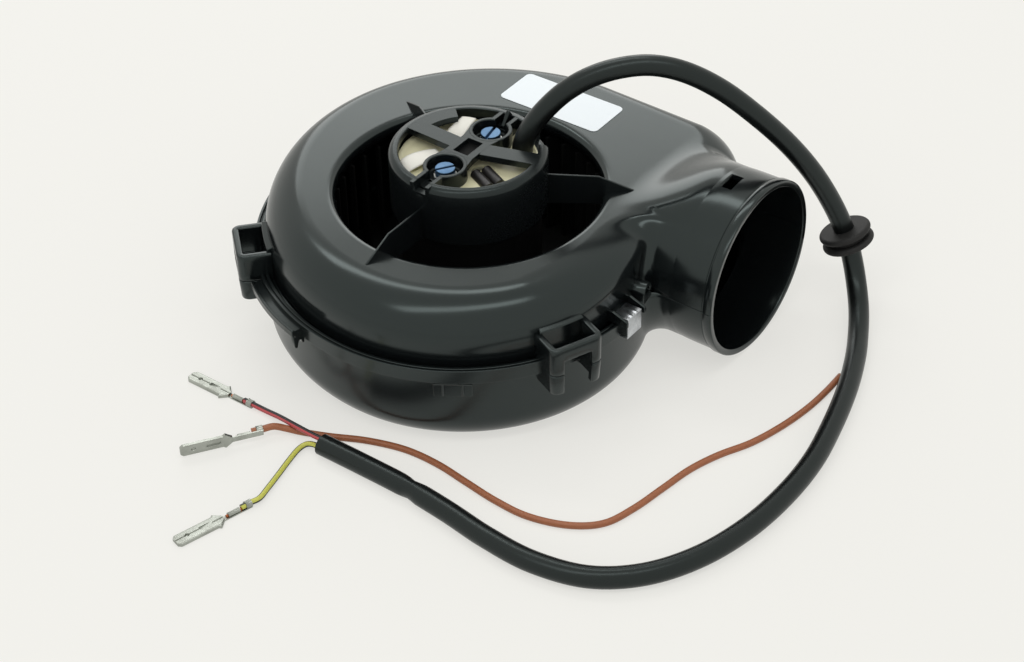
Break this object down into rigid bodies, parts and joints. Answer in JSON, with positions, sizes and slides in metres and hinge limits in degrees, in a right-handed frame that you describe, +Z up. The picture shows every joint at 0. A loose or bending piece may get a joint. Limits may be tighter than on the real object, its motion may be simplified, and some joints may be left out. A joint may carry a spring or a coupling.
{
  "type": "radial fan with motor",
  "caption": "Radial blower: a two-shell black scroll housing with a round outlet, a brush motor hung in a spoked tower, a squirrel-cage impeller and a three-wire loom with blade terminals.",
  "frame": {"origin": "where the rotor axis meets the flat base the housing stands on", "axes": "+Z up along the rotor axis, +X the way the outlet blows, +Y towards the far wall of the scroll"},
  "size_m": [0.2808, 0.3002, 0.1251],
  "materials": {
    "housing_black": "satin moulded",
    "impeller_black": "satin moulded",
    "clip_steel": "bright rolled",
    "label_white": "satin film",
    "can_black": "satin coated",
    "ferrite": "ground",
    "cream_plastic": "moulded",
    "holder_brass": "drawn",
    "carbon": "pressed carbon",
    "spring_steel": "drawn",
    "choke_black": "coated ferrite",
    "sintered_bronze": "sintered, oiled",
    "blue_zinc": "blue passivated zinc",
    "shaft_steel": "ground",
    "core_steel": "stacked laminations",
    "copper": "enamelled and turned copper",
    "washer_fibre": "pressed fibre",
    "sleeve_black": "soft glossy tubing",
    "grommet_rubber": "moulded",
    "wire_brown": "insulation",
    "wire_red": "insulation",
    "wire_yellow": "insulation",
    "tin": "tinned brass"
  },
  "bodies": {
    "housing": {"upper_housing": "housing_black", "lower_housing": "housing_black", "housing_clips": "clip_steel", "label": "label_white", "motor_can": "can_black", "magnets": "ferrite", "brush_plate": "cream_plastic", "brush_holders": "holder_brass", "spring_left": "spring_steel", "spring_right": "spring_steel", "chokes": "choke_black", "upper_bearing": "sintered_bronze", "lower_bearing": "sintered_bronze", "bearing_retainers": "spring_steel", "motor_screws": "blue_zinc", "lock_washers": "clip_steel", "cable_sleeve": "sleeve_black", "cable_grommet": "grommet_rubber", "brown_wire": "wire_brown", "red_wire": "wire_red", "yellow_wire": "wire_yellow", "brown_terminal": "tin", "red_terminal": "tin", "yellow_terminal": "tin"},
    "rotor": {"shaft": "shaft_steel", "armature_core": "core_steel", "armature_windings": "copper", "commutator": "copper", "thrust_washers": "washer_fibre", "impeller": "impeller_black", "impeller_clip": "spring_steel"},
    "brush_left": {"brush_left": "carbon"},
    "brush_right": {"brush_right": "carbon"}
  },
  "joints": [
    {"name": "rotor_spin", "type": "hinge", "parent": "housing", "child": "rotor", "pos_m": [0, 0, 0], "axis": [0, 0, 1], "continuous": true},
    {"name": "brush_right_slide", "type": "slide", "parent": "housing", "child": "brush_right", "axis": [1, 0, 0], "range_m": [0, 0.002], "stiffness_N_per_m": 400, "springref_m": -0.004, "deforming": ["spring_right"]},
    {"name": "brush_left_slide", "type": "slide", "parent": "housing", "child": "brush_left", "axis": [-1, 0, 0], "range_m": [0, 0.002], "stiffness_N_per_m": 400, "springref_m": -0.004, "deforming": ["spring_left"]}
  ]
}
